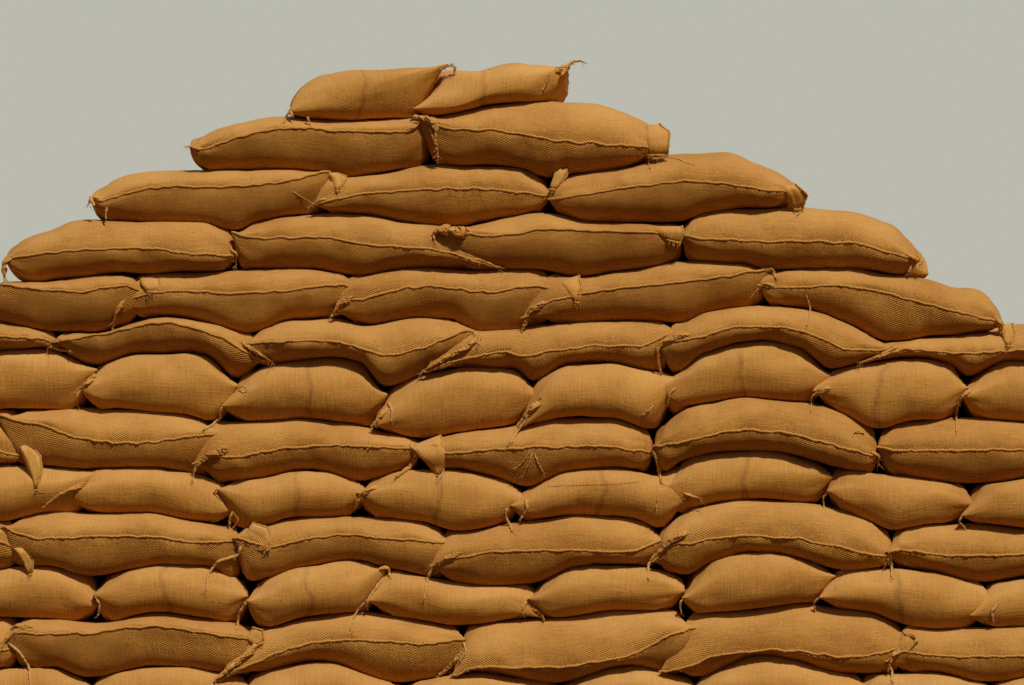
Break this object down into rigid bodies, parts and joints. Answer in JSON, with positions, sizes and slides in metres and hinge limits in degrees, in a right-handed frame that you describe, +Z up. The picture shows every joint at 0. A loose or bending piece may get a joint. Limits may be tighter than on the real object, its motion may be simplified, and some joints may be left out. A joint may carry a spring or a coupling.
{
  "type": "stack of sacks",
  "caption": "Block stack of filled jute grain sacks in crossed courses, a straight wall below that steps in to a low dome on top.",
  "frame": {"origin": "centre of the footprint, on the floor under the lowest course", "axes": "+X along the stack's length, to the right seen from its front; +Y from the front to the back; +Z up"},
  "size_m": [4.536, 1.512, 2.2239],
  "materials": {
    "jute": "coarse matt woven jute, golden brown"
  },
  "bodies": {
    "root": {"course_01_headers": "jute", "course_02_stretchers": "jute", "course_03_headers": "jute", "course_04_stretchers": "jute", "course_05_headers": "jute", "course_06_stretchers": "jute", "course_07_headers": "jute", "course_08_stretchers": "jute", "course_09_stretchers": "jute", "course_10_stretchers": "jute", "course_11_stretchers": "jute", "course_12_stretchers": "jute", "course_13_headers": "jute"}
  },
  "joints": []
}
